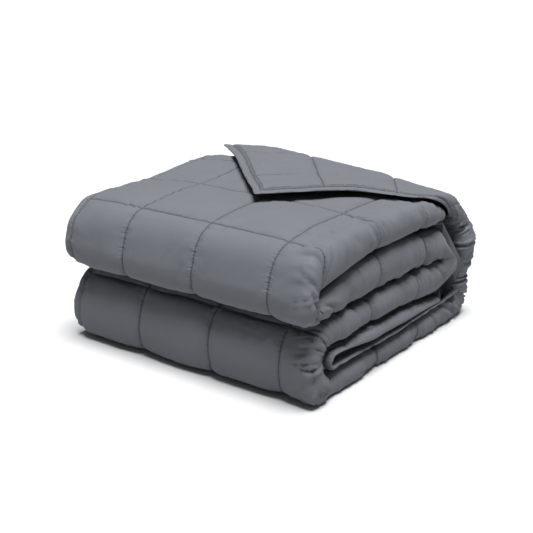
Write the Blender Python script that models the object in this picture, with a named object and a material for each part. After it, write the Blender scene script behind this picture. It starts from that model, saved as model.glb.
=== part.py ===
"""A quilted weighted blanket, folded in three across and then over and over along its length.

The pile lies on its outer face. Its front shows two rolls, one above the other. Its right end
shows the fat folded edges of the strip, and its left end the side hem. The last length goes up
the back and over the top, where its loose corner points to the front.

All sizes are in metres. X runs along the rolls to the folded end, Y from the front to the back
and Z up. The origin is under the middle of the pile.
"""

import math

import bpy
import numpy as np

# The blanket laid flat: whole squares between narrower edge squares, and the hem's flat band
SQUARE = 0.1235
EDGE_COLUMN = 0.115
START_ROW = 0.068
END_ROW = 0.085
COLUMN_SEAMS = 9
ROW_SEAMS = 15
HEM_BAND = 0.012
FLAT_WIDTH = 2 * EDGE_COLUMN + (COLUMN_SEAMS - 1) * SQUARE
FLAT_LENGTH = START_ROW + (ROW_SEAMS - 1) * SQUARE + END_ROW

# The padding: its thickness at a seam and at a hem, as shares of the full padding, how boxy the
# squares are (lower is boxier), and the gap that is left between two layers of cloth
SEAM_SHARE = 0.40
HEM_SHARE = 0.34
PUFF_POWER = 0.45
LAYER_GAP = 0.0012

# The folded strip's layers, from the outer face inwards, its thickness on top, and how far the
# second fold stays back from the side hem at the left
LAYERS = 3
TOP_STRIP = 0.047
LEFT_INSET = 0.012

# The folded edge at the right end: how flat it is, how far in the cloth under it evens out, how
# far its inner side is thinned, over what width of cloth beside it, and its least length
EDGE_FLATNESS = 0.55
EDGE_EASE = 0.06
EDGE_SHARE = 0.02
INNER_THINNING = 0.6
LEAST_ARC = 0.002

# The innermost layer's free hem: how far it stays back from the folded end where it shows and
# where it is hidden, and how it curls down in the second leg, by a length and an angle
SHOWN_INSET = 0.008
HIDDEN_INSET = 0.09
HEM_EASE = 0.05
CURL_LENGTH = 0.018
HEM_CURL = 1.4

# The pile: its reaches are from the front of the rolls
PILE_WIDTH = 0.425
FRONT_REACH = 0.334
UPPER_RADIUS = 0.0505
LOWER_RADIUS = 0.055
LEG_GAP = 0.002
BACK_REACH = 0.434
BACK_RADIUS = 0.045
BACK_RUN = 0.077
CREST_RADIUS = 0.104
TOP_RUN = 0.30
END_SLOPE = 10.0
END_RUN = 0.045
END_RADIUS = 0.12
UPPER_SEAM_ANGLE = 24.0

# How the rolls sag: how boxy their lower halves are, where 2 is round, and how far they lean
# forward at each height. The lean dies out behind the rolls
UPPER_BOXINESS = 4.0
LOWER_BOXINESS = 3.0
UPPER_LEAN = ((0.112, 0.024), (0.150, 0.020), (0.183, 0.010), (0.213, 0.0))
LOWER_LEAN = ((0.0, 0.017), (0.028, 0.011), (0.056, 0.010), (0.086, 0.004), (0.110, 0.0))
LEAN_DEPTH = (0.02, 0.10)

# How far the rolls' front corners flare out past the folded end, low on each roll
CORNER_FLARE = 0.008
FLARE_WIDTH = 0.06
FLARE_DEPTH = (0.0, 0.07)

# How far the folded end bulges where the legs turn at the back
BEND_BULGE = 0.010
BULGE_WIDTH = 0.07
BULGE_DEPTH = (0.24, 0.37)
BULGE_HEIGHT = 0.11
BULGE_SPREAD = 0.055

# How much the top's right back corner hangs, and over what width, depth and height
CORNER_DROOP = 0.014
DROOP_WIDTH = 0.17
DROOP_DEPTH = (0.20, 0.38)
DROOP_HEIGHT = (0.12, 0.21)

# How much the top is crowned, where that dies out at the sides, front and back, and how much the
# underside is pressed flat
CROWN = 0.008
CROWN_LEFT = 0.12
CROWN_RIGHT = 0.10
CROWN_FRONT = 0.12
CROWN_BACK = (0.24, 0.38)
FLOOR_PRESS = 0.002

# The last length fans out. Its loose corner is placed on the outer face laid out flat, by X and
# by the way along the face from the bottom's front edge
CORNER_X = -0.179
CORNER_WAY = 0.864
CORNER_TURN = 45.6
LEFT_SOFTNESS = 0.02
RIGHT_END_WAY = 0.585
RIGHT_START_SPEED = 0.95
KNEE_WAY = 0.69
KNEE_START = 0.5
KNEE_SOFTNESS = 0.09
END_WRAP = 0.034
WRAP_EASE = 0.12
WRAP_THINNING = 0.40

CLOTH_COLOUR = (0.118, 0.127, 0.145, 1.0)
CLOTH_ROUGHNESS = 0.85


def smooth(low, high, value):
    """0 below low, 1 above high, and a soft rise between them."""
    share = np.clip((value - low) / (high - low), 0.0, 1.0)
    return share * share * (3.0 - 2.0 * share)


def soft_ramp(value, softness):
    """0 for values well below zero, and the value itself well above it."""
    fade = np.exp(-np.abs(value) / softness)
    return 0.5 * (value + np.sqrt(value * value + softness * softness)) - 0.5 * softness * fade


# The outer face's way through the pile: each section's name, length, turn in degrees, the folded
# strip's thickness in its middle, and how thick the folded edge is there
END_TURN = END_RADIUS * math.radians(END_SLOPE)
TOP_START = UPPER_RADIUS + START_ROW + 2 * SQUARE - math.radians(UPPER_SEAM_ANGLE) * UPPER_RADIUS
FOLDS = (
    ("end of the strip", END_RUN, 0.0, 0.036, 0.034),
    ("rise to the top", END_TURN, END_SLOPE, 0.042, 0.040),
    ("top leg", TOP_START - UPPER_RADIUS - END_RUN - END_TURN, 0.0, TOP_STRIP, 0.044),
    ("upper roll", math.pi * UPPER_RADIUS, 180.0, 0.049, 0.047),
    ("third leg", FRONT_REACH - UPPER_RADIUS, 0.0, TOP_STRIP, 0.057),
    ("back hairpin", math.pi * LEG_GAP / 2, -180.0, 0.055, 0.053),
    ("second leg", FRONT_REACH - LOWER_RADIUS, 0.0, 0.061, 0.040),
    ("lower roll", math.pi * LOWER_RADIUS, 180.0, 0.0535, 0.037),
    ("bottom leg", BACK_REACH - BACK_RADIUS - LOWER_RADIUS, 0.0, 0.0455, 0.034),
    ("back corner", BACK_RADIUS * math.pi / 2, 90.0, 0.043, 0.041),
    ("back", BACK_RUN, 0.0, 0.042, 0.047),
    ("crest", CREST_RADIUS * math.pi / 2, 90.0, 0.043, 0.045),
    ("over the top", TOP_RUN, 0.0, 0.038, 0.036),
)
FOLD_NAMES = [fold[0] for fold in FOLDS]
FOLD_LENGTHS = np.array([fold[1] for fold in FOLDS])
FOLD_TURNS = np.radians([fold[2] for fold in FOLDS])
FOLD_STRIPS = np.array([fold[3] for fold in FOLDS])
FOLD_EDGES = np.array([fold[4] for fold in FOLDS])
FOLD_STARTS = np.concatenate([[0.0], np.cumsum(FOLD_LENGTHS)[:-1]])
FOLD_MIDDLES = FOLD_STARTS + FOLD_LENGTHS / 2


def starts(name):
    return FOLD_STARTS[FOLD_NAMES.index(name)]


def ends(name):
    return starts(name) + FOLD_LENGTHS[FOLD_NAMES.index(name)]


FAN_START = starts("bottom leg")


def fold_step(y, z, heading, length, turn, whole):
    """Where a walk of this length ends, on sections that turn evenly over their whole length."""
    straight = np.abs(turn) < 1e-9
    radius = whole / np.where(straight, 1.0, turn)
    after = heading + turn * length / whole
    curved_y = radius * (np.sin(after) - np.sin(heading))
    curved_z = radius * (np.cos(heading) - np.cos(after))
    dy = np.where(straight, length * np.cos(heading), curved_y)
    dz = np.where(straight, length * np.sin(heading), curved_z)
    return y + dy, z + dz, after


def fold_joints():
    """Where each section of the outer face starts, seen from the folded end, and its heading."""
    y, z, heading = 0.0, 0.0, math.radians(180.0 - END_SLOPE)
    joints = []
    for length, turn in zip(FOLD_LENGTHS, FOLD_TURNS):
        joints.append((y, z, heading))
        y, z, heading = fold_step(y, z, heading, length, turn, length)
    joints = np.array(joints, float)
    top_front = joints[FOLD_NAMES.index("upper roll")]
    joints[:, 0] += UPPER_RADIUS - top_front[0]
    joints[:, 1] += 2 * LOWER_RADIUS + LEG_GAP + 2 * UPPER_RADIUS - top_front[1]
    return joints


FOLD_JOINTS = fold_joints()


def outer_face(way):
    """y, z and the outward normal at lengths along the outer face."""
    index = np.clip(np.searchsorted(FOLD_STARTS, way, side="right") - 1, 0, len(FOLDS) - 1)
    start = FOLD_JOINTS[index]
    walked = way - FOLD_STARTS[index]
    y, z, heading = fold_step(
        start[..., 0], start[..., 1], start[..., 2], walked, FOLD_TURNS[index], FOLD_LENGTHS[index]
    )
    return y, z, np.sin(heading), -np.cos(heading)


def strip_thickness(way):
    return np.interp(way, FOLD_MIDDLES, FOLD_STRIPS)


def hem_inset(way):
    """How far the innermost layer's free hem stays back from the folded end."""
    shows = smooth(starts("second leg"), starts("second leg") + 1.6 * HEM_EASE, way)
    shows = shows * (1 - smooth(starts("back corner") - HEM_EASE, starts("back corner"), way))
    return HIDDEN_INSET + (SHOWN_INSET - HIDDEN_INSET) * shows


def hem_curl(way):
    """How far the innermost layer's free hem curls down, in radians."""
    rise = smooth(starts("second leg") + HEM_EASE, starts("second leg") + 3 * HEM_EASE, way)
    return HEM_CURL * rise * (1 - smooth(starts("lower roll") - 2 * HEM_EASE, starts("lower roll"), way))


def edge_radius(way):
    """The folded edge's radius to the middle of the cloth, in the depth of the strip."""
    return (np.interp(way, FOLD_MIDDLES, FOLD_EDGES) - strip_thickness(way) / LAYERS) / 2


def fold_widths():
    """The width of cloth in each run and each turn of the strip's section, left hem first."""
    third = TOP_STRIP / LAYERS
    turn = math.pi * third / 2
    first = PILE_WIDTH - third
    second = PILE_WIDTH - 2 * third - LEFT_INSET
    return np.cumsum([0.0, first, turn, second, turn, FLAT_WIDTH - first - second - 2 * turn])


BREAKS = fold_widths()


def folded_edge(walked, third, radius):
    """X, depth and look on the folded edge, a walk down from the outer layer to the next one."""
    flat = radius * EDGE_FLATNESS
    angle = math.pi * (0.5 - np.clip(walked / edge_length(radius), 0.0, 1.0))
    x = flat * np.cos(angle) - flat - third / 2
    depth = radius * np.sin(angle) - radius - third / 2
    return x, depth, np.arctan2(np.sin(angle) * flat, np.cos(angle) * radius)


def edge_length(radius):
    """The length of cloth that the folded edge takes."""
    return math.pi * radius * (1 + EDGE_FLATNESS) / 2


def edge_start(third, radius):
    """Where across the blanket the folded edge starts to turn."""
    return PILE_WIDTH - third / 2 - radius * EDGE_FLATNESS


def section(across, strip, radius, inset, curl, wrap):
    """X, depth below the outer face, and the angle the outer face looks, in the strip's section."""
    third = strip / LAYERS
    turned = edge_start(third, radius)
    arc = np.maximum(edge_length(radius) - wrap, LEAST_ARC)
    right = -third / 2 - radius * EDGE_FLATNESS
    left = -PILE_WIDTH + LEFT_INSET + third
    edge_x, edge_depth, edge_angle = folded_edge(
        wrap + np.clip(across - turned, 0.0, arc), third, radius
    )
    share = (across - turned - arc) / (BREAKS[3] - turned - arc)
    second_x = right + share * (left - right)
    pushed = 2 * radius - third
    second_depth = -1.5 * third - pushed * smooth(right - EDGE_EASE, right, second_x)
    turn = math.pi * (0.5 + (across - BREAKS[3]) / (BREAKS[4] - BREAKS[3]))
    bend = np.maximum(curl, 1e-3)
    curled = bend * np.clip((across - FLAT_WIDTH + CURL_LENGTH) / CURL_LENGTH, 0.0, 1.0)
    straight = -inset - CURL_LENGTH * np.sin(bend) / bend
    last = np.clip((across - BREAKS[4]) / (FLAT_WIDTH - CURL_LENGTH - BREAKS[4]), 0.0, 1.0)
    last_x = left + last * (straight - left) + CURL_LENGTH / bend * np.sin(curled)
    beside = np.maximum(pushed, 0.0) * smooth(right - EDGE_EASE, right, last_x)
    limits = (turned, turned + arc, BREAKS[3], BREAKS[4])
    number = sum((across > limit).astype(int) for limit in limits)
    flat = np.zeros(np.shape(third * across))
    x = np.choose(number, [
        across - PILE_WIDTH + flat,
        edge_x,
        second_x,
        left + third / 2 * np.cos(turn),
        last_x,
    ])
    depth = np.choose(number, [
        -third / 2 + flat,
        edge_depth,
        second_depth,
        -2 * third + third / 2 * np.sin(turn),
        -2.5 * third - beside - CURL_LENGTH / bend * (1 - np.cos(curled)),
    ])
    quarter = math.pi / 2 + flat
    angle = np.choose(number, [quarter, edge_angle, -quarter, turn - math.pi, quarter - curled])
    return x, depth, angle


def fan_share(along):
    return np.clip((along - FAN_START) / (FLAT_LENGTH - FAN_START), 0.0, 1.0)


def left_edge(along):
    """The side hem on the last length, on the outer face laid out flat."""
    turn = math.radians(CORNER_TURN)
    slant = (CORNER_X + PILE_WIDTH) / math.sin(turn)
    straight = CORNER_WAY - slant * math.cos(turn)
    whole = straight + slant
    fan = FLAT_LENGTH - FAN_START
    share = fan_share(along)
    walked = (2 * whole - fan) * share + (fan - whole) * share * share
    past = soft_ramp(walked - straight, LEFT_SOFTNESS)
    return -PILE_WIDTH + math.sin(turn) * past, walked - (1 - math.cos(turn)) * past


def right_way(along):
    """How far along the outer face the folded edge has come on the last length."""
    share = fan_share(along)
    start = RIGHT_START_SPEED * (FLAT_LENGTH - FAN_START)
    return start * share + (RIGHT_END_WAY - start) * share * share


def knee_share(along):
    """How far the cloth has begun to run over the folded end, from 0 to 1 at the end hem."""
    return np.maximum((fan_share(along) - KNEE_START) / (1.0 - KNEE_START), 0.0) ** 2


def fan_point(share, along, right):
    """X and the way along the outer face, on the last length, at a share of the pile's width."""
    bent = knee_share(along)
    first = left_edge(along)
    knee = (right, right_way(along) + (KNEE_WAY - RIGHT_END_WAY) * bent)
    last = (right + END_WRAP * bent, right_way(along))
    reach = np.hypot(knee[0] - first[0], knee[1] - first[1])
    tail = np.hypot(last[0] - knee[0], last[1] - knee[1])
    bend = reach / (reach + tail)
    room = np.minimum(share, 1.0 - share) / KNEE_SOFTNESS
    window = KNEE_SOFTNESS * np.clip(room, 0.0, 1.0)
    total = [0.0, 0.0]
    samples = np.linspace(-1.0, 1.0, 5)
    for sample in samples:
        place = share + window * sample
        before = np.clip(place / bend, 0.0, 1.0)
        after = np.clip((place - bend) / np.maximum(1.0 - bend, 1e-9), 0.0, 1.0)
        for axis in (0, 1):
            step = (knee[axis] - first[axis]) * before + (last[axis] - knee[axis]) * after
            total[axis] = total[axis] + first[axis] + step
    return total[0] / len(samples), total[1] / len(samples)


def sagged(y, z, radius, low, boxiness, lean):
    """Where points of a roll come to when the roll sags, with its lowest line at height low."""
    ahead = np.maximum(radius - y, 0.0)
    under = np.clip(low + radius - z, 0.0, radius)
    reach = np.maximum(np.hypot(ahead, under), 1e-9)
    total = (ahead / reach) ** boxiness + (under / reach) ** boxiness
    grown = 1 + (np.maximum(total, 1e-9) ** (-1 / boxiness) - 1) * np.minimum(reach / radius, 1.0)
    inside = (ahead > 0) & (under > 0)
    boxed_y = np.where(inside, radius - ahead * grown, y)
    boxed_z = np.where(inside, low + radius - under * grown, z)
    heights, shifts = zip(*lean)
    return boxed_y - np.interp(boxed_z, heights, shifts) * (1 - smooth(*LEAN_DEPTH, y)), boxed_z


def settled(x, y, z):
    """The whole pile's settling: sagging rolls, hanging corner, crowned top, flat underside."""
    upper = 2 * LOWER_RADIUS + LEG_GAP
    above = z > upper - LEG_GAP / 2
    up_y, up_z = sagged(y, z, UPPER_RADIUS, upper, UPPER_BOXINESS, UPPER_LEAN)
    low_y, low_z = sagged(y, z, LOWER_RADIUS, 0.0, LOWER_BOXINESS, LOWER_LEAN)
    share = np.where(above, (z - upper) / UPPER_RADIUS, z / LOWER_RADIUS) / 2
    flare = smooth(-FLARE_WIDTH, 0.0, x) * (1 - smooth(*FLARE_DEPTH, y)) * (1 - smooth(0, 1, share))
    turned = np.clip(1 - np.abs(z - BULGE_HEIGHT) / BULGE_SPREAD, 0.0, 1.0)
    bulge = smooth(-BULGE_WIDTH, 0.0, x) * smooth(*BULGE_DEPTH, y) * smooth(0, 1, turned)
    x = x + CORNER_FLARE * flare + BEND_BULGE * bulge
    y, z = np.where(above, up_y, low_y), np.where(above, up_z, low_z)
    hang = smooth(-DROOP_WIDTH, 0.0, x) * smooth(*DROOP_DEPTH, y) * smooth(*DROOP_HEIGHT, z)
    sides = smooth(-PILE_WIDTH, CROWN_LEFT - PILE_WIDTH, x) * (1 - smooth(-CROWN_RIGHT, 0.0, x))
    deep = smooth(0.0, CROWN_FRONT, y) * (1 - smooth(*CROWN_BACK, y))
    height = smooth(upper, upper + 2 * UPPER_RADIUS, z)
    z = z + CROWN * sides * deep * height - CORNER_DROOP * hang
    return x, y, np.maximum(z - FLOOR_PRESS, 0.0)


def pile_point(across, along, offset):
    """Points of the cloth, at an offset from its middle towards its outer face."""
    fanned = along > FAN_START
    way = np.where(fanned, FAN_START + right_way(along), along)
    wrap = np.where(fanned, END_WRAP * knee_share(along), 0.0)
    third = strip_thickness(way) / LAYERS
    radius = edge_radius(way)
    x, depth, look = section(across, LAYERS * third, radius, hem_inset(way), hem_curl(way), wrap)
    start = edge_start(third, radius)
    outer = fanned & (across < start)
    fan_x, ahead = fan_point(np.clip(across / start, 0.0, 1.0), along, start - PILE_WIDTH)
    way = np.where(outer, FAN_START + ahead, way)
    over = outer & (fan_x > start - PILE_WIDTH)
    third = strip_thickness(way) / LAYERS
    radius = edge_radius(way)
    turned = edge_start(third, radius)
    arc = edge_length(radius)
    edge = folded_edge(np.maximum(fan_x + PILE_WIDTH - start, 0.0), third, radius)
    x = np.where(outer, np.where(over, edge[0], fan_x), x)
    depth = np.where(outer, np.where(over, edge[1], -third / 2), depth)
    look = np.where(over, edge[2], look)
    thin = 1 - WRAP_THINNING * knee_share(along) * smooth(-WRAP_EASE, 0.0, x) * fanned
    full = (strip_thickness(way) / LAYERS - LAYER_GAP) * thin
    round_edge = smooth(turned - EDGE_SHARE, turned, across)
    round_edge = round_edge * (1 - smooth(turned + arc, turned + arc + EDGE_SHARE, across))
    half = full / 2 * np.where(offset < 0, offset * (1 - INNER_THINNING * round_edge), offset)
    x = x + half * np.cos(look)
    depth = depth + half * np.sin(look)
    y, z, normal_y, normal_z = outer_face(way)
    y = y + depth * normal_y
    z = z + depth * normal_z
    return np.stack(settled(x, y, z), axis=-1)


# How fine the mesh is across and along the blanket: where a stretch ends, and the step inside it
COLUMN_STEPS = (
    (PILE_WIDTH - 0.050, 0.032),
    (PILE_WIDTH + 0.027, 0.0085),
    (BREAKS[3] - 0.004, 0.062),
    (BREAKS[4] + 0.004, 0.0065),
    (FLAT_WIDTH - 0.030, 0.062),
    (FLAT_WIDTH, 0.009),
)
ROW_STEPS = (
    (starts("upper roll"), 0.042),
    (ends("upper roll"), 0.021),
    (starts("back hairpin"), 0.045),
    (ends("back hairpin"), 0.0006),
    (starts("lower roll"), 0.045),
    (ends("lower roll"), 0.0225),
    (FAN_START + SQUARE, 0.042),
    (FAN_START + 4 * SQUARE, 0.0247),
    (FLAT_LENGTH, 0.031),
)


def seam_lines(edge, count):
    return [edge + number * SQUARE for number in range(count)]


def mesh_lines(steps, seams, flat):
    """Where the mesh has its lines one way: even steps between marks, with seams on lines."""
    marks = sorted({0.0, HEM_BAND, *seams, flat - HEM_BAND, *(end for end, _ in steps)})
    found = []
    for start, end in zip(marks, marks[1:]):
        step = next(step for limit, step in steps if (start + end) / 2 < limit)
        pieces = max(1, round((end - start) / step))
        found += [start + (end - start) * number / pieces for number in range(pieces)]
    return np.array(found + [flat])


def puff(place, seams, flat):
    """How full the padding is at places along one way: 0 at a seam and 1 in a square's middle."""
    lines = np.array([HEM_BAND, *seams, flat - HEM_BAND])
    after = np.clip(np.searchsorted(lines, place, side="right"), 1, len(lines) - 1)
    share = np.clip((place - lines[after - 1]) / (lines[after] - lines[after - 1]), 0.0, 1.0)
    return np.maximum(np.sin(math.pi * share), 0.0) ** PUFF_POWER


def padding(across, along):
    """The share of the full padding's thickness, over the blanket laid flat."""
    full = puff(across, seam_lines(EDGE_COLUMN, COLUMN_SEAMS), FLAT_WIDTH)
    full = full * puff(along, seam_lines(START_ROW, ROW_SEAMS), FLAT_LENGTH)
    sides = np.minimum(across, FLAT_WIDTH - across)
    inwards = np.minimum(sides, np.minimum(along, FLAT_LENGTH - along))
    return np.where(inwards < HEM_BAND - 1e-6, HEM_SHARE, SEAM_SHARE + (1 - SEAM_SHARE) * full)


def cloth_faces(wide, long):
    """Both faces of the cloth and the thin band that joins them along the hem."""
    back = wide * long

    def at(column, row, side):
        return side * back + row * wide + column

    faces = []
    for row in range(long - 1):
        for column in range(wide - 1):
            corners = ((column, row), (column + 1, row), (column + 1, row + 1), (column, row + 1))
            faces.append([at(c, r, 0) for c, r in reversed(corners)])
            faces.append([at(c, r, 1) for c, r in corners])
    rim = [(column, 0) for column in range(wide)]
    rim += [(wide - 1, row) for row in range(1, long)]
    rim += [(column, long - 1) for column in reversed(range(wide - 1))]
    rim += [(0, row) for row in reversed(range(1, long - 1))]
    for (c0, r0), (c1, r1) in zip(rim, rim[1:] + rim[:1]):
        faces.append([at(c0, r0, 0), at(c1, r1, 0), at(c1, r1, 1), at(c0, r0, 1)])
    return faces


def cloth_mesh():
    """The whole folded cloth as one closed mesh, with its middle over the origin."""
    columns = mesh_lines(COLUMN_STEPS, seam_lines(EDGE_COLUMN, COLUMN_SEAMS), FLAT_WIDTH)
    rows = mesh_lines(ROW_STEPS, seam_lines(START_ROW, ROW_SEAMS), FLAT_LENGTH)
    across, along = np.meshgrid(columns, rows)
    half = padding(across, along)
    faces_of_cloth = [pile_point(across, along, side * half) for side in (1, -1)]
    points = np.concatenate([face.reshape(-1, 3) for face in faces_of_cloth])
    points[:, :2] -= (points[:, :2].min(axis=0) + points[:, :2].max(axis=0)) / 2
    mesh = bpy.data.meshes.new("blanket")
    mesh.from_pydata(points.tolist(), [], cloth_faces(len(columns), len(rows)))
    mesh.materials.append(cloth_material())
    mesh.shade_smooth()
    return mesh


def cloth_material():
    material = bpy.data.materials.new("slate cotton")
    material.use_nodes = True
    shader = material.node_tree.nodes["Principled BSDF"]
    shader.inputs["Base Color"].default_value = CLOTH_COLOUR
    shader.inputs["Roughness"].default_value = CLOTH_ROUGHNESS
    shader.inputs["Metallic"].default_value = 0.0
    return material


def build():
    for thing in list(bpy.data.objects):
        bpy.data.objects.remove(thing)
    blanket = bpy.data.objects.new("blanket", cloth_mesh())
    bpy.context.scene.collection.objects.link(blanket)


build()
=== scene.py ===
"""Dresses the folded weighted blanket: quilted cotton, sewn squares, turned hems and studio light.

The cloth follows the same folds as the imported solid. It is worked out on a fine grid over the
blanket laid flat, so every square, seam, hem, gather and wrinkle has its place in the cloth.

All sizes are in metres. X runs along the rolls to the folded end, Y from the front to the back
and Z up.
"""

import math

import bpy
import numpy as np
from bpy.props import FloatProperty, FloatVectorProperty, PointerProperty
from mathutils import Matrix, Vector


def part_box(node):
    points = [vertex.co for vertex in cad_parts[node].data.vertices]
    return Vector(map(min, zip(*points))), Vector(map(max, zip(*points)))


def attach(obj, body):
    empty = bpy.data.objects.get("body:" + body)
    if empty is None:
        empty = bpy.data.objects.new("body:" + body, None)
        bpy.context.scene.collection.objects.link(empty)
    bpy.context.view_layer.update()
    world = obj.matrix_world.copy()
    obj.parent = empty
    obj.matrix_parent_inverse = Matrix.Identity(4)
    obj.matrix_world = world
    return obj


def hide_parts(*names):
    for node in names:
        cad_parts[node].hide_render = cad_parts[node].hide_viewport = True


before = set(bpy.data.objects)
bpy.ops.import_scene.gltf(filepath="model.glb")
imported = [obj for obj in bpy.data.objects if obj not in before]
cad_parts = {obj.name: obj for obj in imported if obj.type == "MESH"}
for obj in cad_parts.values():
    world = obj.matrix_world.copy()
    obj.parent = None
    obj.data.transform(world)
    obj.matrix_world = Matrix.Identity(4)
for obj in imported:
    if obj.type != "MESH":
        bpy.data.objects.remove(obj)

bl_info = {
    "name": "Folded Weighted Blanket",
    "version": (1, 0, 0),
    "blender": (4, 5, 0),
    "location": "View3D > Sidebar > Blanket",
    "description": "Quilted weighted blanket, folded into a pile of two rolls",
    "category": "Object",
}

# The blanket laid flat: whole squares between narrower edge squares, the hem's flat band, and the
# gap left between two layers of the folded cloth
SQUARE = 0.1235
EDGE_COLUMN = 0.115
START_ROW = 0.068
END_ROW = 0.085
COLUMN_SEAMS = 9
ROW_SEAMS = 15
HEM_BAND = 0.012
FLAT_WIDTH = 2 * EDGE_COLUMN + (COLUMN_SEAMS - 1) * SQUARE
FLAT_LENGTH = START_ROW + (ROW_SEAMS - 1) * SQUARE + END_ROW
LAYER_GAP = 0.0012

# The folded strip's layers, from the outer face inwards, its thickness on top, and how far the
# second fold stays back from the side hem at the left
LAYERS = 3
TOP_STRIP = 0.047
LEFT_INSET = 0.012

# The folded edge at the right end: how round it is, where 1 is a half circle, how far in the cloth
# under it evens out, over what width beside it its inner side is thinned and by what share, and its
# least length
EDGE_ROUNDNESS = 0.60
EDGE_EASE = 0.06
EDGE_SHARE = 0.02
INNER_THINNING = 0.6
LEAST_ARC = 0.002

# The innermost layer's free hem: how far it stays back from the folded end where it shows and
# where it is hidden, over what length it comes out, and how it curls down in the second leg, by a
# length, an angle and the least angle that it is worked out with
SHOWN_INSET = 0.001
HIDDEN_INSET = 0.09
HEM_EASE = 0.05
CURL_LENGTH = 0.014
HEM_CURL = 1.6
LEAST_CURL = 1e-3

# The pile: its reaches are from the front of the rolls. The strip's end slopes up to the top, and
# the third seam across the strip lies a little way round the upper roll, both in degrees
PILE_WIDTH = 0.425
FRONT_REACH = 0.334
UPPER_RADIUS = 0.0505
LOWER_RADIUS = 0.055
LEG_GAP = 0.002
BACK_REACH = 0.434
BACK_RADIUS = 0.045
BACK_RUN = 0.077
CREST_RADIUS = 0.104
TOP_RUN = 0.30
END_SLOPE = 10.0
END_RUN = 0.045
END_RADIUS = 0.12
UPPER_SEAM_ANGLE = 24.0

# How the rolls sag: how boxy their lower and upper halves are, where 2 is round, over what width
# the left end stays round on top, and how far the rolls lean forward at each height. The lean
# dies out behind the rolls
UPPER_BOXINESS = 4.0
LOWER_BOXINESS = 3.0
TOP_BOXINESS = 3.2
LEFT_ROUNDNESS = 0.08
UPPER_LEAN = ((0.112, 0.024), (0.150, 0.020), (0.183, 0.010), (0.213, 0.0))
LOWER_LEAN = ((0.0, 0.017), (0.028, 0.011), (0.056, 0.010), (0.086, 0.004), (0.110, 0.0))
LEAN_DEPTH = (0.02, 0.10)

# How far the rolls' front corners flare out past the folded end, low on each roll
CORNER_FLARE = 0.008
FLARE_WIDTH = 0.06
FLARE_DEPTH = (0.0, 0.07)

# How far the folded end bulges where the legs turn at the back
BEND_BULGE = 0.010
BULGE_WIDTH = 0.07
BULGE_DEPTH = (0.24, 0.37)
BULGE_HEIGHT = 0.11
BULGE_SPREAD = 0.055

# How far the top rises at the back left, and where that starts and ends across, deep and high
BACK_LIFT = 0.010
LIFT_ACROSS = (-0.30, -0.14)
LIFT_DEPTH = (0.14, 0.34)
LIFT_HEIGHT = (0.10, 0.19)

# The loose corner on top: how far its front part stands off, and between which depths and places
# across that dies out. Then how far its back tip hangs, and between which of them that starts
CORNER_LIFT = 0.004
CORNER_DEPTH = (0.20, 0.32)
CORNER_ACROSS = (-0.12, -0.03)
TIP_HANG = 0.004
TIP_DEPTH = (0.28, 0.36)
TIP_ACROSS = (-0.43, -0.33)

# How the upper roll's inner corner hangs forward and down at the folded end: where it is, how far
# it moves, and over what reach and width
NOSE = (0.052, 0.164)
NOSE_HANG = (0.019, 0.015)
NOSE_REACH = 0.032
NOSE_WIDTH = 0.09

# How much the top's right back corner hangs, and over what width, depth and height
CORNER_DROOP = 0.014
DROOP_WIDTH = 0.17
DROOP_DEPTH = (0.20, 0.38)
DROOP_HEIGHT = (0.12, 0.21)

# How much the top is crowned, where that dies out at the sides, front and back, and how much the
# underside is pressed flat
CROWN = 0.008
CROWN_LEFT = 0.12
CROWN_RIGHT = 0.10
CROWN_FRONT = 0.12
CROWN_BACK = (0.24, 0.38)
FLOOR_PRESS = 0.002

# The last length fans out. Its loose corner is placed on the outer face laid out flat, by X and
# by the way along the face from the bottom's front edge, and the side hem turns towards it by an
# angle in degrees. At the folded end the cloth first comes forward by a share of its own length,
# and its end hem comes to rest at a way along the face
CORNER_X = -0.179
CORNER_WAY = 0.864
CORNER_TURN = 45.6
LEFT_SOFTNESS = 0.03
RIGHT_END_WAY = 0.585
RIGHT_START_SPEED = 0.95

# The end hem's knee, where it bends to run over the folded end: how far along the face it lies,
# from which share of the last length the cloth bends, how softly and in how many samples. Then how
# far the hem wraps down over the folded end, and over what width and by what share that thins it
KNEE_WAY = 0.69
KNEE_START = 0.5
KNEE_SOFTNESS = 0.09
KNEE_SAMPLES = 9
END_WRAP = 0.034
WRAP_EASE = 0.12
WRAP_THINNING = 0.40

# Guards against dividing by nothing, and the numbers that mix a place and a seed into a chance
TINY = 1e-12
MIX_COLUMN = 127.1
MIX_ROW = 311.7
MIX_SEED = 74.7
MIX_SPREAD = 43758.5453


def smooth(low, high, value):
    """0 below low, 1 above high, and a soft rise between them."""
    share = np.clip((value - low) / (high - low), 0.0, 1.0)
    return share * share * (3.0 - 2.0 * share)


def soft_share(least, low, high, value):
    """The least share below low, 1 above high, and a soft rise between them."""
    return least + (1 - least) * smooth(low, high, value)


def soft_ramp(value, softness):
    """0 for values well below zero, the value itself well above it, and a soft bend between."""
    fade = np.exp(-np.abs(value) / softness)
    return 0.5 * (value + np.sqrt(value * value + softness * softness)) - 0.5 * softness * fade


def noise(x, y, seed):
    """Smooth noise from -1 to 1, with one bump to a unit and a pattern of its own for each seed."""
    column, row = np.floor(x), np.floor(y)
    total = 0.0
    for right in (0, 1):
        for up in (0, 1):
            mixed = (column + right) * MIX_COLUMN + (row + up) * MIX_ROW + seed * MIX_SEED
            chance = np.modf(np.abs(np.sin(mixed)) * MIX_SPREAD)[0]
            wide = smooth(0.0, 1.0, x - column)
            high = smooth(0.0, 1.0, y - row)
            weight = (wide if right else 1 - wide) * (high if up else 1 - high)
            total = total + weight * (2 * chance - 1)
    return total


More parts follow.
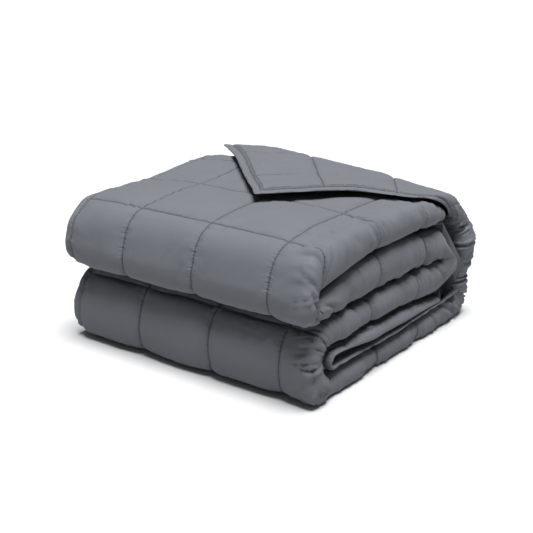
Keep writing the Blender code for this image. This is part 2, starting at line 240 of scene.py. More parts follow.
# The outer face's way through the pile: each section's name, length, turn in degrees, the folded
# strip's thickness in its middle, and how thick the folded edge is there
END_TURN = END_RADIUS * math.radians(END_SLOPE)
TOP_START = UPPER_RADIUS + START_ROW + 2 * SQUARE - math.radians(UPPER_SEAM_ANGLE) * UPPER_RADIUS
FOLDS = (
    ("end of the strip", END_RUN, 0.0, 0.036, 0.034),
    ("rise to the top", END_TURN, END_SLOPE, 0.042, 0.040),
    ("top leg", TOP_START - UPPER_RADIUS - END_RUN - END_TURN, 0.0, TOP_STRIP, 0.044),
    ("upper roll", math.pi * UPPER_RADIUS, 180.0, 0.049, 0.047),
    ("third leg", FRONT_REACH - UPPER_RADIUS, 0.0, TOP_STRIP, 0.057),
    ("back hairpin", math.pi * LEG_GAP / 2, -180.0, 0.055, 0.053),
    ("second leg", FRONT_REACH - LOWER_RADIUS, 0.0, 0.061, 0.040),
    ("lower roll", math.pi * LOWER_RADIUS, 180.0, 0.0535, 0.037),
    ("bottom leg", BACK_REACH - BACK_RADIUS - LOWER_RADIUS, 0.0, 0.0455, 0.034),
    ("back corner", BACK_RADIUS * math.pi / 2, 90.0, 0.043, 0.041),
    ("back", BACK_RUN, 0.0, 0.042, 0.047),
    ("crest", CREST_RADIUS * math.pi / 2, 90.0, 0.043, 0.045),
    ("over the top", TOP_RUN, 0.0, 0.038, 0.036),
)
FOLD_NAMES = [name for name, *_ in FOLDS]
FOLD_LENGTHS, FOLD_TURNS, FOLD_STRIPS, FOLD_EDGES = np.array([sizes for _, *sizes in FOLDS]).T
FOLD_TURNS = np.radians(FOLD_TURNS)
FOLD_STARTS = np.concatenate([[0.0], np.cumsum(FOLD_LENGTHS)[:-1]])
FOLD_MIDDLES = FOLD_STARTS + FOLD_LENGTHS / 2


def starts(name):
    return FOLD_STARTS[FOLD_NAMES.index(name)]


def ends(name):
    return starts(name) + FOLD_LENGTHS[FOLD_NAMES.index(name)]


FAN_START = starts("bottom leg")


def fold_step(y, z, heading, length, turn, whole):
    """Where a walk of this length ends, on sections that turn evenly over their whole length."""
    straight = np.abs(turn) < TINY
    radius = whole / np.where(straight, 1.0, turn)
    after = heading + turn * length / whole
    curved_y = radius * (np.sin(after) - np.sin(heading))
    curved_z = radius * (np.cos(heading) - np.cos(after))
    dy = np.where(straight, length * np.cos(heading), curved_y)
    dz = np.where(straight, length * np.sin(heading), curved_z)
    return y + dy, z + dz, after


def fold_joints():
    """Where each section of the outer face starts, seen from the folded end, and its heading."""
    y, z, heading = 0.0, 0.0, math.radians(180.0 - END_SLOPE)
    joints = []
    for length, turn in zip(FOLD_LENGTHS, FOLD_TURNS):
        joints.append((y, z, heading))
        y, z, heading = fold_step(y, z, heading, length, turn, length)
    joints = np.array(joints, float)
    top_front = joints[FOLD_NAMES.index("upper roll")]
    joints[:, 0] += UPPER_RADIUS - top_front[0]
    joints[:, 1] += 2 * LOWER_RADIUS + LEG_GAP + 2 * UPPER_RADIUS - top_front[1]
    return joints


FOLD_JOINTS = fold_joints()


def outer_face(way):
    """y, z and the outward normal at lengths along the outer face."""
    index = np.clip(np.searchsorted(FOLD_STARTS, way, side="right") - 1, 0, len(FOLDS) - 1)
    start = FOLD_JOINTS[index]
    walked = way - FOLD_STARTS[index]
    y, z, heading = fold_step(
        start[..., 0], start[..., 1], start[..., 2], walked, FOLD_TURNS[index], FOLD_LENGTHS[index]
    )
    return y, z, np.sin(heading), -np.cos(heading)


def strip_thickness(way):
    return np.interp(way, FOLD_MIDDLES, FOLD_STRIPS)


def hem_inset(way):
    """How far the innermost layer's free hem stays back from the folded end."""
    shows = smooth(starts("second leg") - HEM_EASE, starts("second leg"), way)
    shows = shows * (1 - smooth(starts("back corner"), ends("back corner"), way))
    return HIDDEN_INSET + (SHOWN_INSET - HIDDEN_INSET) * shows


def hem_curl(way):
    """How far the innermost layer's free hem curls down, in radians."""
    first, last = starts("second leg"), starts("lower roll")
    rise = smooth(first, first + 3 * HEM_EASE, way)
    return HEM_CURL * rise * (1 - smooth(last - 2 * HEM_EASE, last, way))


def edge_radius(way):
    """The folded edge's radius to the middle of the cloth, in the depth of the strip."""
    return (np.interp(way, FOLD_MIDDLES, FOLD_EDGES) - strip_thickness(way) / LAYERS) / 2


def fold_widths():
    """The width of cloth in each run and each turn of the strip's section, left hem first."""
    third = TOP_STRIP / LAYERS
    turn = math.pi * third / 2
    first = PILE_WIDTH - third
    second = PILE_WIDTH - 2 * third - LEFT_INSET
    return np.cumsum([0.0, first, turn, second, turn, FLAT_WIDTH - first - second - 2 * turn])


BREAKS = fold_widths()


def folded_edge(walked, third, radius):
    """X, depth and look on the folded edge, a walk down from the outer layer to the next one."""
    flat = radius * EDGE_ROUNDNESS
    angle = math.pi * (0.5 - np.clip(walked / edge_length(radius), 0.0, 1.0))
    x = flat * np.cos(angle) - flat - third / 2
    depth = radius * np.sin(angle) - radius - third / 2
    return x, depth, np.arctan2(np.sin(angle) * flat, np.cos(angle) * radius)


def edge_length(radius):
    """The length of cloth that the folded edge takes."""
    return math.pi * radius * (1 + EDGE_ROUNDNESS) / 2


def edge_start(third, radius):
    """Where across the blanket the folded edge starts to turn."""
    return PILE_WIDTH - third / 2 - radius * EDGE_ROUNDNESS


def section(across, strip, radius, inset, curl, wrap):
    """X, depth below the outer face, and the angle the outer face looks, in the strip's section."""
    third = strip / LAYERS
    turned = edge_start(third, radius)
    arc = np.maximum(edge_length(radius) - wrap, LEAST_ARC)
    right = -third / 2 - radius * EDGE_ROUNDNESS
    left = -PILE_WIDTH + LEFT_INSET + third
    edge_x, edge_depth, edge_angle = folded_edge(
        wrap + np.clip(across - turned, 0.0, arc), third, radius
    )
    share = (across - turned - arc) / (BREAKS[3] - turned - arc)
    second_x = right + share * (left - right)
    pushed = 2 * radius - third
    second_depth = -1.5 * third - pushed * smooth(right - EDGE_EASE, right, second_x)
    turn = math.pi * (0.5 + (across - BREAKS[3]) / (BREAKS[4] - BREAKS[3]))
    bend = np.maximum(curl, LEAST_CURL)
    curled = bend * np.clip((across - FLAT_WIDTH + CURL_LENGTH) / CURL_LENGTH, 0.0, 1.0)
    straight = -inset - CURL_LENGTH * np.sin(bend) / bend
    last = np.clip((across - BREAKS[4]) / (FLAT_WIDTH - CURL_LENGTH - BREAKS[4]), 0.0, 1.0)
    last_x = left + last * (straight - left) + CURL_LENGTH / bend * np.sin(curled)
    beside = np.maximum(pushed, 0.0) * smooth(right - EDGE_EASE, right, last_x)
    limits = (turned, turned + arc, BREAKS[3], BREAKS[4])
    number = sum((across > limit).astype(int) for limit in limits)
    flat = np.zeros(np.shape(third * across))
    x = np.choose(number, [
        across - PILE_WIDTH + flat,
        edge_x,
        second_x,
        left + third / 2 * np.cos(turn),
        last_x,
    ])
    depth = np.choose(number, [
        -third / 2 + flat,
        edge_depth,
        second_depth,
        -2 * third + third / 2 * np.sin(turn),
        -2.5 * third - beside - CURL_LENGTH / bend * (1 - np.cos(curled)),
    ])
    quarter = math.pi / 2 + flat
    angle = np.choose(number, [quarter, edge_angle, -quarter, turn - math.pi, quarter - curled])
    return x, depth, angle


def fan_share(along):
    return np.clip((along - FAN_START) / (FLAT_LENGTH - FAN_START), 0.0, 1.0)


def left_edge(along):
    """The side hem on the last length, on the outer face laid out flat."""
    turn = math.radians(CORNER_TURN)
    slant = (CORNER_X + PILE_WIDTH) / math.sin(turn)
    straight = CORNER_WAY - slant * math.cos(turn)
    whole = straight + slant
    fan = FLAT_LENGTH - FAN_START
    share = fan_share(along)
    walked = (2 * whole - fan) * share + (fan - whole) * share * share
    past = soft_ramp(walked - straight, LEFT_SOFTNESS)
    return -PILE_WIDTH + math.sin(turn) * past, walked - (1 - math.cos(turn)) * past


def right_way(along):
    """How far along the outer face the folded edge has come on the last length."""
    share = fan_share(along)
    start = RIGHT_START_SPEED * (FLAT_LENGTH - FAN_START)
    return start * share + (RIGHT_END_WAY - start) * share * share


def knee_share(along):
    """How far the cloth has begun to run over the folded end, from 0 to 1 at the end hem."""
    return np.maximum((fan_share(along) - KNEE_START) / (1.0 - KNEE_START), 0.0) ** 2


def fan_point(share, along, right):
    """X and the way along the outer face, on the last length, at a share of the pile's width."""
    bent = knee_share(along)
    first = left_edge(along)
    knee = (right, right_way(along) + (KNEE_WAY - RIGHT_END_WAY) * bent)
    last = (right + END_WRAP * bent, right_way(along))
    reach = np.hypot(knee[0] - first[0], knee[1] - first[1])
    tail = np.hypot(last[0] - knee[0], last[1] - knee[1])
    bend = reach / (reach + tail)
    room = np.minimum(share, 1.0 - share) / KNEE_SOFTNESS
    window = KNEE_SOFTNESS * np.clip(room, 0.0, 1.0)
    total = [0.0, 0.0]
    for sample in np.linspace(-1.0, 1.0, KNEE_SAMPLES):
        place = share + window * sample
        before = np.clip(place / bend, 0.0, 1.0)
        after = np.clip((place - bend) / np.maximum(1.0 - bend, TINY), 0.0, 1.0)
        for axis in (0, 1):
            step = (knee[axis] - first[axis]) * before + (last[axis] - knee[axis]) * after
            total[axis] = total[axis] + first[axis] + step
    return total[0] / KNEE_SAMPLES, total[1] / KNEE_SAMPLES


def sagged(y, z, radius, low, boxiness, lean):
    """Where points of a roll come to when the roll sags, with its lowest line at height low.

    The boxiness is that of the roll's lower half and that of its upper half.
    """
    ahead = np.maximum(radius - y, 0.0)
    rise = np.clip(z - low - radius, -radius, radius)
    power = np.where(rise < 0, boxiness[0], boxiness[1])
    reach = np.maximum(np.hypot(ahead, rise), TINY)
    total = (ahead / reach) ** power + (np.abs(rise) / reach) ** power
    grown = 1 + (np.maximum(total, TINY) ** (-1 / power) - 1) * np.minimum(reach / radius, 1.0)
    boxed_y = np.where(ahead > 0, radius - ahead * grown, y)
    boxed_z = np.where(ahead > 0, low + radius + rise * grown, z)
    heights, shifts = zip(*lean)
    return boxed_y - np.interp(boxed_z, heights, shifts) * (1 - smooth(*LEAN_DEPTH, y)), boxed_z


def settled(x, y, z):
    """The whole pile's settling: sagging rolls, hanging corner, crowned top, flat underside."""
    upper = 2 * LOWER_RADIUS + LEG_GAP
    above = z > upper - LEG_GAP / 2
    away = np.hypot(y - NOSE[0], z - NOSE[1]) / NOSE_REACH
    hung = np.exp(-away * away) * smooth(-NOSE_WIDTH, 0.0, x) * above
    y, z = y - NOSE_HANG[0] * hung, z - NOSE_HANG[1] * hung
    top = 2 + (TOP_BOXINESS - 2) * smooth(-PILE_WIDTH, LEFT_ROUNDNESS - PILE_WIDTH, x)
    up_y, up_z = sagged(y, z, UPPER_RADIUS, upper, (UPPER_BOXINESS, top), UPPER_LEAN)
    low_y, low_z = sagged(y, z, LOWER_RADIUS, 0.0, (LOWER_BOXINESS, top), LOWER_LEAN)
    share = np.where(above, (z - upper) / UPPER_RADIUS, z / LOWER_RADIUS) / 2
    flare = smooth(-FLARE_WIDTH, 0.0, x) * (1 - smooth(*FLARE_DEPTH, y)) * (1 - smooth(0, 1, share))
    turned = np.clip(1 - np.abs(z - BULGE_HEIGHT) / BULGE_SPREAD, 0.0, 1.0)
    bulge = smooth(-BULGE_WIDTH, 0.0, x) * smooth(*BULGE_DEPTH, y) * smooth(0, 1, turned)
    x = x + CORNER_FLARE * flare + BEND_BULGE * bulge
    y, z = np.where(above, up_y, low_y), np.where(above, up_z, low_z)
    hang = smooth(-DROOP_WIDTH, 0.0, x) * smooth(*DROOP_DEPTH, y) * smooth(*DROOP_HEIGHT, z)
    sides = smooth(-PILE_WIDTH, CROWN_LEFT - PILE_WIDTH, x) * (1 - smooth(-CROWN_RIGHT, 0.0, x))
    deep = smooth(0.0, CROWN_FRONT, y) * (1 - smooth(*CROWN_BACK, y))
    height = smooth(upper, upper + 2 * UPPER_RADIUS, z)
    lift = (1 - smooth(*LIFT_ACROSS, x)) * smooth(*LIFT_DEPTH, y) * smooth(*LIFT_HEIGHT, z)
    z = z + CROWN * sides * deep * height + BACK_LIFT * lift - CORNER_DROOP * hang
    return x, y, np.maximum(z - FLOOR_PRESS, 0.0)


def pile_point(across, along, offset):
    """Points of the cloth, at an offset from its middle towards its outer face."""
    fanned = along > FAN_START
    way = np.where(fanned, FAN_START + right_way(along), along)
    wrap = np.where(fanned, END_WRAP * knee_share(along), 0.0)
    third = strip_thickness(way) / LAYERS
    radius = edge_radius(way)
    x, depth, look = section(across, LAYERS * third, radius, hem_inset(way), hem_curl(way), wrap)
    start = edge_start(third, radius)
    outer = fanned & (across < start)
    fan_x, ahead = fan_point(np.clip(across / start, 0.0, 1.0), along, start - PILE_WIDTH)
    way = np.where(outer, FAN_START + ahead, way)
    over = outer & (fan_x > start - PILE_WIDTH)
    third = strip_thickness(way) / LAYERS
    radius = edge_radius(way)
    turned = edge_start(third, radius)
    arc = edge_length(radius)
    edge = folded_edge(np.maximum(fan_x + PILE_WIDTH - start, 0.0), third, radius)
    x = np.where(outer, np.where(over, edge[0], fan_x), x)
    depth = np.where(outer, np.where(over, edge[1], -third / 2), depth)
    look = np.where(over, edge[2], look)
    thin = 1 - WRAP_THINNING * knee_share(along) * smooth(-WRAP_EASE, 0.0, x) * fanned
    full = (strip_thickness(way) / LAYERS - LAYER_GAP) * thin
    round_edge = smooth(turned - EDGE_SHARE, turned, across)
    round_edge = round_edge * (1 - smooth(turned + arc, turned + arc + EDGE_SHARE, across))
    half = full / 2 * np.where(offset < 0, offset * (1 - INNER_THINNING * round_edge), offset)
    x = x + half * np.cos(look)
    depth = depth + half * np.sin(look)
    y, z, normal_y, normal_z = outer_face(way)
    y = y + depth * normal_y
    z = z + depth * normal_z
    x, y, z = settled(x, y, z)
    stands = (1 - smooth(*CORNER_DEPTH, y)) * (1 - smooth(*CORNER_ACROSS, x))
    hangs = smooth(*TIP_DEPTH, y) * (1 - smooth(*TIP_ACROSS, x))
    over = outer & (way > ends("crest") - CREST_RADIUS / 2)
    z = z + over * (CORNER_LIFT * stands - TIP_HANG * hangs)
    return np.stack((x, y, z), axis=-1)


# The power that flattens a square's crown, and the cloth's least height, as a share of the padding
CROWN_POWER = 0.7
LEAST_RELIEF = 0.03

# The hem: how wide its rolled rim is, how far apart its rows of stitches are and how wide their
# groove is, and the shares of its height that are flat, rolled at the rim and rounded in between
HEM_RIM = 0.0025
STITCH_ROWS = 0.0038
STITCH_GROOVE = 0.0014
FLAT_SHARE = 0.1
RIM_SHARE = 0.5
TUBE_SHARE = 0.5

# Where the second side shows between the legs its hem is tucked under and the cloth bulges: over
# what width, and its share of the padding
FULL_SIDE = 0.03
FULL_SHARE = 0.85

# Small folds: how wide their valleys are, as a share of a fold, how high the folds are, how deep
# the valleys are, and how much closer the second valleys stand and how deep those are
CREASE_SHARPNESS = 0.28
CREASE_HEIGHT = 0.7
VALLEY_DEPTH = 1.5
SECOND_CLOSER = 1.7
SECOND_DEPTH = 0.7

# Puckers beside the stitching: how far the fine and the broad ones reach and how long they are, the
# broad ones' width and share, how far and how often they lean, how often they come and go along a
# seam, how much higher they are beside the hem, and how close to the stitching they are whole. Here
# and below, PATCHES, CALM and STRENGTH are a least share and the values where it rises to 1
FINE_REACH = 0.008
FINE_LENGTH = 0.03
BROAD_REACH = 0.022
BROAD_LENGTH = 0.06
BROAD_WIDTH = 2.4
BROAD_SHARE = 0.7
PUCKER_LEAN = 0.5
LEAN_PITCH = 0.04
PATCH_PITCH = 0.05
PATCHES = (0.3, -0.3, 0.6)
HEM_PUCKERS = 2.0
PUCKER_START = 0.003

# How far apart in the noise neighbouring seams are, for leaning, fine, broad and patchy puckers
LEAN_STEP = 7.3
FINE_STEP = 9.7
BROAD_STEP = 5.1
PATCH_STEP = 3.3

# The filled squares' unevenness: the size of the broad and of the small bumps, the width and length
# of the long folds, how far those turn and how often, the shares of small bumps and folds, and how
# calm the cloth is beside a seam
BROAD_BUMPS = (0.06, 0.05)
SMALL_BUMPS = (0.025, 0.03)
LONG_FOLDS = (0.03, 0.12)
FOLD_TURNING = 1.2
TURNING_PITCH = 0.2
SMALL_SHARE = 0.5
FOLD_SHARE = 0.7
CALM = (0.3, 0.0, 0.02)

# The gathers over the folded edge: the edge's middle across the blanket, how far they reach on
# both sides, how much less and how much further out they do on the rolls, how much they slant and
# how often that changes, how long they are, the fine ones' closeness, length and share, and how
# they come and go
EDGE_MIDDLE = 0.402
GATHER_REACH = 0.030
ROLL_EASE = 0.03
ROLL_NARROWING = 0.3
ROLL_SHIFT = 0.008
GATHER_SLANT = 0.25
SLANT_PITCH = 0.07
GATHER_LENGTH = 0.06
FINE_GATHERS = (1.9, 0.03, 0.5)
STRENGTH_PITCH = 0.045
STRENGTH = (0.35, -0.4, 0.5)

# How far the seams drift from their true lines, over what pitch and width the drift changes, and
# how far from the end hems it is whole. Then how far the lower roll's cloth has slipped to the
# right, and where that starts, is whole, starts to end and ends, across and along
WANDER = 0.0013
WANDER_PITCH = 0.045
WANDER_WIDTH = 0.09
WANDER_START = 0.03
LOWER_SLIP = 0.017
SLIP_ACROSS = (0.0, 0.10, 0.31, 0.42)
SLIP_ALONG = (0.86, 0.98, 1.19, 1.30)

# How the cloth swells on both sides of a single crease: by what share of its depth, how far from
# its valley and how wide, in half widths, and how far a crease runs out past its ends
SWELL_SHARE = 0.5
SWELL_PLACE = 2.5
SWELL_WIDTH = 1.3
RUN_OUT = 2

# Single creases and tucks, in millimetres of the flat cloth: where each starts across and along,
# where it ends across and along, its half width and its depth
CREASES = (
    (86, 314, 84, 298, 2.2, 2.5),
    (84, 298, 98, 282, 2.2, 2.5),
    (98, 282, 120, 280, 2.2, 2.0),
    (102, 314, 108, 304, 1.8, 1.6),
    (66, 242, 116, 240, 4.0, 1.6),
    (52, 262, 112, 256, 3.5, 1.3),
    (22, 1826, 120, 1812, 4.0, 1.8),
    (30, 1770, 150, 1766, 4.0, 1.6),
    (40, 1720, 130, 1700, 4.5, 1.6),
    (24, 1856, 60, 1846, 3.0, 1.4),
    (398, 384, 422, 376, 1.6, 3.0),
    (420, 372, 426, 392, 2.2, 5.0),
    (426, 392, 422, 430, 2.2, 5.0),
    (404, 424, 420, 420, 1.8, 3.0),
    (404, 350, 424, 358, 2.0, 2.5),
    (436, 460, 422, 468, 2.0, 4.0),
    (448, 508, 434, 512, 1.8, 3.0),
    (444, 488, 418, 490, 3.0, 2.0),
    (408, 760, 428, 740, 2.0, 3.5),
    (404, 742, 416, 706, 2.0, 3.0),
    (400, 1100, 416, 1102, 1.8, 3.5),
    (416, 1102, 420, 1162, 2.0, 4.5),
    (418, 1112, 412, 1138, 1.8, 3.0),
    (404, 1150, 424, 1172, 2.0, 3.0),
    (434, 1470, 420, 1486, 2.0, 3.5),
    (436, 1516, 420, 1562, 2.2, 5.0),
    (440, 1626, 396, 1632, 2.6, 3.0),
    (440, 1664, 386, 1668, 2.0, 5.0),
    (440, 1700, 390, 1704, 2.4, 4.0),
    (440, 1740, 380, 1748, 2.0, 6.0),
    (428, 1786, 400, 1792, 2.6, 3.5),
    (428, 1818, 400, 1780, 2.0, 3.5),
    (412, 1854, 388, 1838, 2.0, 3.0),
)

# How fine the cloth's grid is: where a stretch ends, and the mean step inside it. The lines stand
# closer together beside the seams, by a share of that step
COLUMN_STEPS = (
    (HEM_BAND, 0.0018),
    (0.36, 0.0032),
    (0.45, 0.0022),
    (0.52, 0.006),
    (BREAKS[3] - 0.03, 0.020),
    (BREAKS[3], 0.007),
    (BREAKS[4], 0.003),
    (FLAT_WIDTH - 0.06, 0.020),
    (FLAT_WIDTH - HEM_BAND, 0.004),
    (FLAT_WIDTH, 0.002),
)
ROW_STEPS = (
    (HEM_BAND, 0.003),
    (FLAT_LENGTH - HEM_BAND, 0.0025),
    (FLAT_LENGTH, 0.0018),
)
CLUSTERING = 0.55


def seam_lines(edge, count):
    return [edge + number * SQUARE for number in range(count)]


def grid_lines(steps, seams):
    """Where the grid has its lines: closer beside each mark, with every seam on a line."""
    marks = sorted({0.0, *seams, *(end for end, _ in steps)})
    found = []
    for start, end in zip(marks, marks[1:]):
        step = next(step for limit, step in steps if (start + end) / 2 < limit)
        shares = np.arange(max(1, round((end - start) / step)))
        shares = shares / len(shares)
        shares = shares - CLUSTERING * np.sin(math.tau * shares) / math.tau
        found += list(start + (end - start) * shares)
    found.append(marks[-1])
    if len(found) % 2 == 0:
        found.insert(1, found[1] / 2)
    return np.array(found)


def seam_distance(place, edge, count, flat):
    """How far places are from the nearest seam or hem stitching, and below zero in the hem.

    With the distance come the number of that seam and the width of the square.
    """
    lines = np.array([HEM_BAND] + seam_lines(edge, count) + [flat - HEM_BAND])
    after = np.clip(np.searchsorted(lines, place, side="right"), 1, len(lines) - 1)
    before, behind = lines[after - 1], lines[after]
    near = np.minimum(place - before, behind - place)
    nearest = np.where(place - before < behind - place, after - 1, after)
    return near, nearest, behind - before


def both_distances(across, along):
    """The distances to the nearest seams both ways, with the seams' numbers and squares' widths."""
    return (
        seam_distance(across, EDGE_COLUMN, COLUMN_SEAMS, FLAT_WIDTH),
        seam_distance(along, START_ROW, ROW_SEAMS, FLAT_LENGTH),
    )


def puff(near, wide, sizes):
    """How full the padding is at a distance from a seam: 0 on it and 1 in the square's middle."""
    near = np.maximum(near, 0.0)
    crisp = 1.0 - np.exp(-near / sizes.seam_width)
    broad = np.sin(math.pi * np.clip(near / wide, 0.0, 1.0)) ** CROWN_POWER
    return (1.0 - sizes.crown_share) * crisp + sizes.crown_share * broad


def hem_profile(edge, sizes):
    """The hem's height at a distance from the cloth's edge: a thin flange with a rolled rim."""
    rim = np.sqrt(np.clip(1.0 - (1.0 - np.clip(edge / HEM_RIM, 0.0, 1.0)) ** 2, 0.0, 1.0))
    rounded = np.sqrt(np.clip(1.0 - (2.0 * edge / HEM_BAND - 1.0) ** 2, 0.0, 1.0))
    stitched = np.exp(-(((edge - HEM_BAND) / STITCH_GROOVE) ** 2))
    height = FLAT_SHARE + RIM_SHARE * rim + TUBE_SHARE * rounded
    return sizes.hem_share * height - sizes.stitch_share * stitched


def relief(across, along, sizes):
    """The outer face's height over the cloth's middle, as a share of half the padding."""
    (near_u, _, wide_u), (near_v, _, wide_v) = both_distances(across, along)
    full = puff(near_u, wide_u, sizes) * puff(near_v, wide_v, sizes)
    inside = sizes.seam_share + (1.0 - sizes.seam_share) * full
    edge = np.minimum(
        np.minimum(across, FLAT_WIDTH - across), np.minimum(along, FLAT_LENGTH - along)
    )
    second_row = np.exp(-(((edge - HEM_BAND - STITCH_ROWS) / STITCH_GROOVE) ** 2))
    inside = inside - sizes.stitch_share * second_row
    blend = smooth(HEM_BAND - STITCH_GROOVE, HEM_BAND + STITCH_GROOVE, edge)
    height = hem_profile(edge, sizes) * (1 - blend) + inside * blend
    side = smooth(FLAT_WIDTH - 1.5 * FULL_SIDE, FLAT_WIDTH - FULL_SIDE, across)
    last = starts("lower roll")
    side = side * (1 - smooth(last - 2 * FULL_SIDE, last, along))
    bowed = np.sqrt(np.clip(1.0 - (1.0 - edge / FULL_SIDE) ** 2, 0.0, 1.0))
    return np.maximum(height + side * (FULL_SHARE * bowed - height), LEAST_RELIEF)


def creased(place, drift, seed):
    """Rounded folds with narrow valleys between them, one or two to a unit, from about -1 to 1."""
    first = np.exp(-np.abs(noise(place, drift, seed)) / CREASE_SHARPNESS)
    second = np.exp(-np.abs(noise(SECOND_CLOSER * place, drift, seed + 50)) / CREASE_SHARPNESS)
    return CREASE_HEIGHT - VALLEY_DEPTH * first - SECOND_DEPTH * second


def puckers(across, along, sizes):
    """Small gathers that the stitching makes, square to each seam and fading away from it."""
    total = 0.0
    last = (COLUMN_SEAMS + 1, ROW_SEAMS + 1)
    distances = both_distances(across, along)
    for (near, line, _), way, hem, seed in zip(distances, (along, across), last, (3, 11)):
        away = np.abs(near)
        lean = PUCKER_LEAN * noise(way / LEAN_PITCH, line * LEAN_STEP, seed + 5) * away
        place = (way + lean) / sizes.pucker_pitch
        fine = creased(place, line * FINE_STEP + away / FINE_LENGTH, seed)
        broad = creased(place / BROAD_WIDTH, line * BROAD_STEP + away / BROAD_LENGTH, seed + 1)
        patchy = soft_share(*PATCHES, noise(way / PATCH_PITCH, line * PATCH_STEP, seed + 2))
        patchy = patchy * np.where((line == 0) | (line == hem), HEM_PUCKERS, 1.0)
        patchy = patchy * smooth(0.0, PUCKER_START, away)
        both = np.exp(-away / FINE_REACH) * fine + BROAD_SHARE * np.exp(-away / BROAD_REACH) * broad
        total = total + patchy * both
    return sizes.pucker_depth * total


def wrinkles(across, along, sizes):
    """Soft, broad unevenness of the filled squares, with a few long shallow folds."""
    total = noise(across / BROAD_BUMPS[0], along / BROAD_BUMPS[1], 21)
    total = total + SMALL_SHARE * noise(across / SMALL_BUMPS[0], along / SMALL_BUMPS[1], 22)
    (near_u, _, _), (near_v, _, _) = both_distances(across, along)
    turn = FOLD_TURNING * noise(across / TURNING_PITCH, along / TURNING_PITCH, 24)
    slanted = across * np.cos(turn) + along * np.sin(turn)
    other = along * np.cos(turn) - across * np.sin(turn)
    total = total + FOLD_SHARE * creased(slanted / LONG_FOLDS[0], other / LONG_FOLDS[1], 23)
    free = soft_share(*CALM, np.minimum(np.abs(near_u), np.abs(near_v)))
    return sizes.wrinkle_depth * total * free


def on_roll(name, along):
    """1 on a roll, falling softly to 0 at both of its ends."""
    risen = smooth(starts(name), starts(name) + ROLL_EASE, along)
    return risen * (1 - smooth(ends(name) - ROLL_EASE, ends(name), along))


def gathers(across, along, sizes):
    """Creases square to the folded edge, where the cloth turns over at the right end."""
    out = across - EDGE_MIDDLE
    rolled = on_roll("upper roll", along) + on_roll("lower roll", along)
    reach = GATHER_REACH * (1 - ROLL_NARROWING * rolled)
    window = np.exp(-(np.abs((out - ROLL_SHIFT * rolled) / reach) ** 3))
    slant = GATHER_SLANT * out * (1 + noise(along / SLANT_PITCH, 0.0, 31))
    bowed = (along + slant) / sizes.gather_pitch
    closer, fine_length, fine_share = FINE_GATHERS
    waves = creased(bowed, out / GATHER_LENGTH, 32)
    waves = waves + fine_share * creased(closer * bowed, out / fine_length, 33)
    strong = soft_share(*STRENGTH, noise(along / STRENGTH_PITCH, 4.0, 34))
    return sizes.gather_depth * window * strong * waves


def single_creases(across, along):
    """The table's creases: a narrow valley with the cloth swelling on both of its sides."""
    total = 0.0
    for start_u, start_v, end_u, end_v, half, depth in CREASES:
        length = math.hypot(end_u - start_u, end_v - start_v)
        way_u, way_v = (end_u - start_u) / length, (end_v - start_v) / length
        from_u, from_v = 1000 * across - start_u, 1000 * along - start_v
        walked = from_u * way_u + from_v * way_v
        beyond = np.maximum(np.maximum(-walked, walked - length), 0.0)
        side = np.abs(from_u * way_v - from_v * way_u)
        swell = SWELL_SHARE * np.exp(-(((side - SWELL_PLACE * half) / (SWELL_WIDTH * half)) ** 2))
        fading = np.exp(-((beyond / (RUN_OUT * half)) ** 2))
        total = total + depth * fading * (swell - np.exp(-side / half))
    return total / 1000


def wandered(across, along):
    """The flat cloth's places, drifted a little from the seams' true lines."""
    low_u, in_u, out_u, high_u = SLIP_ACROSS
    low_v, in_v, out_v, high_v = SLIP_ALONG
    slip = smooth(low_u, in_u, across) * (1 - smooth(out_u, high_u, across))
    slip = slip * smooth(low_v, in_v, along) * (1 - smooth(out_v, high_v, along))
    drift_u = WANDER * noise(along / WANDER_PITCH, across / WANDER_WIDTH, 41)
    drift_v = WANDER * noise(across / WANDER_PITCH, along / WANDER_WIDTH, 42)
    inside = smooth(0.0, WANDER_START, np.minimum(along, FLAT_LENGTH - along))
    return across + drift_u + LOWER_SLIP * slip, along + drift_v * inside


def grid_normals(points):
    """Outward normals of the outer face, from its grid."""
    du = np.gradient(points, axis=1)
    dv = np.gradient(points, axis=0)
    normals = np.cross(dv, du)
    length = np.linalg.norm(normals, axis=-1, keepdims=True)
    return normals / np.maximum(length, TINY)


def pile_place():
    """Where the pile's right front corner stands on the floor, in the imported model's place."""
    low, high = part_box("blanket")
    return np.array([low.x + PILE_WIDTH, high.y - BACK_REACH, 0.0])


def quilt_faces(rows, columns, inner_rows, inner_columns):
    """Faces of the fine outer grid, the coarser inner grid and the rim that joins them."""
    inner = rows * columns

    def outer_at(row, column):
        return row * columns + column

    def inner_at(row, column):
        return inner + row * inner_columns + column

    faces = []
    for row in range(rows - 1):
        for column in range(columns - 1):
            faces.append((
                outer_at(row + 1, column), outer_at(row + 1, column + 1),
                outer_at(row, column + 1), outer_at(row, column),
            ))
    for row in range(inner_rows - 1):
        for column in range(inner_columns - 1):
            faces.append((
                inner_at(row, column), inner_at(row, column + 1),
                inner_at(row + 1, column + 1), inner_at(row + 1, column),
            ))
    last_row, last_column = inner_rows - 1, inner_columns - 1
    rim = [(0, column) for column in range(last_column)]
    rim += [(row, last_column) for row in range(last_row)]
    rim += [(last_row, column) for column in range(last_column, 0, -1)]
    rim += [(row, 0) for row in range(last_row, 0, -1)]
    for (r0, c0), (r1, c1) in zip(rim, rim[1:] + rim[:1]):
        faces.append((
            outer_at(2 * r0, 2 * c0), outer_at(r0 + r1, c0 + c1), outer_at(2 * r1, 2 * c1),
            inner_at(r1, c1), inner_at(r0, c0),
        ))
    return faces


